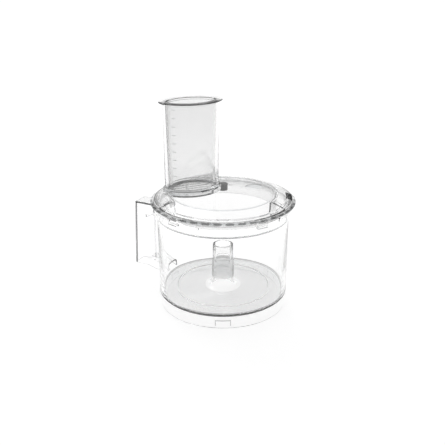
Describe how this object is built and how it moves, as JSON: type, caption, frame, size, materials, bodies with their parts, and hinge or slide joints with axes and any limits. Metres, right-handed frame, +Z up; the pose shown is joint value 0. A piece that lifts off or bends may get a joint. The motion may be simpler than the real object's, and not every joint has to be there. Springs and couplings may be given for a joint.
{
  "type": "food processor bowl set",
  "caption": "Clear food processor work bowl with a loop handle and hollow drive column, a lid with an oval feed chute, and a measuring pusher cup.",
  "frame": {"origin": "on the bowl's axis at the foot of the skirt, where the bowl stands", "axes": "+Z up along the bowl's axis, handle along -X, feed chute on the handle's side"},
  "size_m": [0.2255, 0.184, 0.2614],
  "materials": {
    "bowl_clear": "clear moulded, polished",
    "handle_clear": "clear moulded, polished",
    "seal_soft": "soft grey, matt",
    "lid_clear": "clear moulded, polished",
    "chute_clear": "clear moulded, polished",
    "pusher_clear": "faintly hazy clear, moulded"
  },
  "bodies": {
    "bowl": {"bowl": "bowl_clear", "handle": "handle_clear"},
    "seal": {"seal_ring": "seal_soft"},
    "lid": {"lid": "lid_clear", "feed_chute": "chute_clear"},
    "pusher": {"pusher": "pusher_clear"}
  },
  "joints": [
    {"name": "lid_lift", "type": "slide", "parent": "bowl", "child": "seal", "axis": [0, 0, 1], "range_m": [0, 0.15]},
    {"name": "lid_turn", "type": "hinge", "parent": "seal", "child": "lid", "pos_m": [0, 0, 0.138], "axis": [0, 0, 1], "range_deg": [-45, 0]},
    {"name": "pusher_lift", "type": "slide", "parent": "lid", "child": "pusher", "axis": [0, 0, 1], "range_m": [0, 0.13]}
  ]
}
